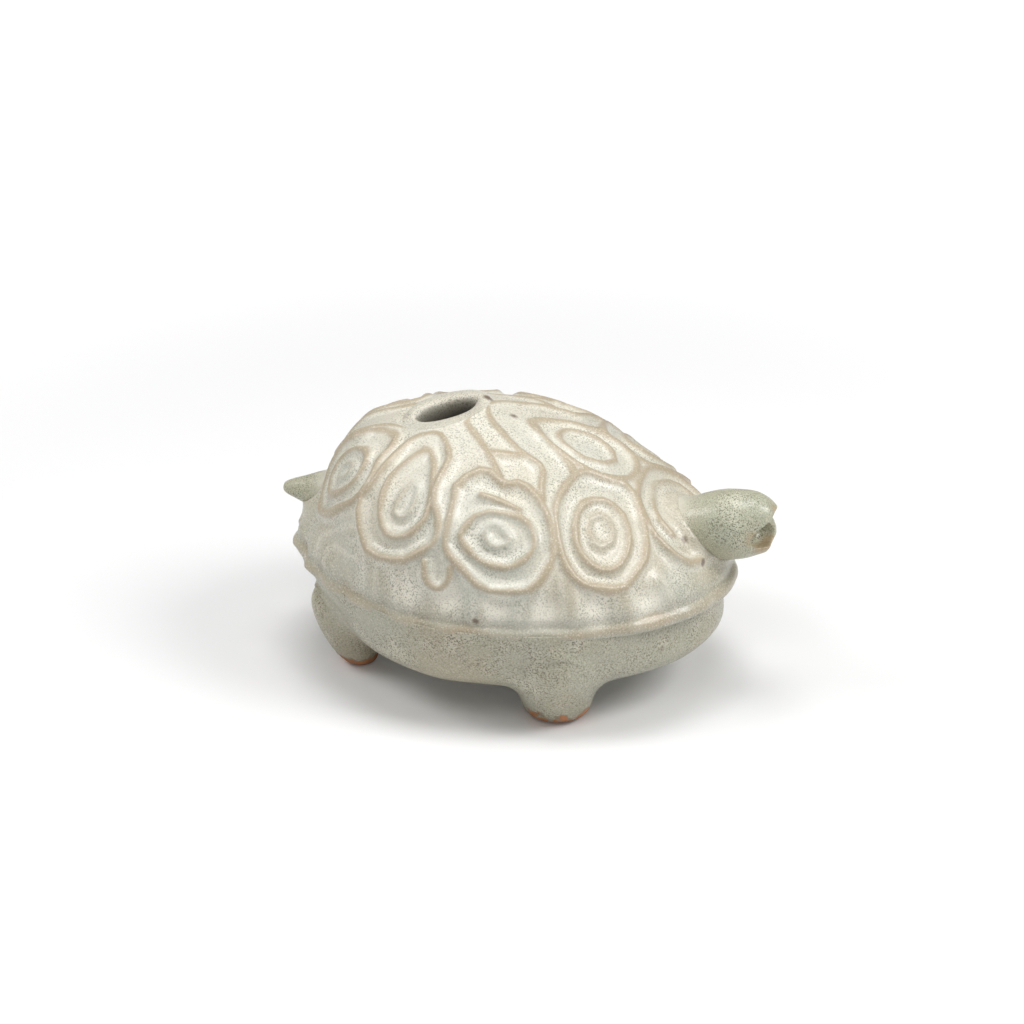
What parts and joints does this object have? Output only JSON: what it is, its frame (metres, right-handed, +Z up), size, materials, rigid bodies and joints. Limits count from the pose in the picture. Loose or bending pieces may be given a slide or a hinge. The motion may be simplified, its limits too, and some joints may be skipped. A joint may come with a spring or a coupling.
{
  "type": "calligraphy water dropper",
  "caption": "Tortoise-shaped glazed stoneware water dropper: hollow domed shell with raised scutes, round filling hole, and a spout bored through the open mouth.",
  "frame": {"origin": "on the ground plane under the middle of the whole length, from the tip of the tail to the tip of the beak", "axes": "+X along the tortoise towards its head, +Y to its left, +Z up"},
  "size_m": [0.1042, 0.0742, 0.0579],
  "materials": {
    "shell_glaze": "pale cream celadon glaze, buff where it thins over the raised lines",
    "belly_glaze": "satin grey-green celadon glaze, bare orange clay under the feet",
    "head_glaze": "greener, finely mottled celadon glaze"
  },
  "bodies": {
    "root": {"carapace": "shell_glaze", "belly": "belly_glaze", "head": "head_glaze", "tail": "head_glaze", "front_right_leg": "belly_glaze", "front_left_leg": "belly_glaze", "rear_right_leg": "belly_glaze", "rear_left_leg": "belly_glaze"}
  },
  "joints": []
}
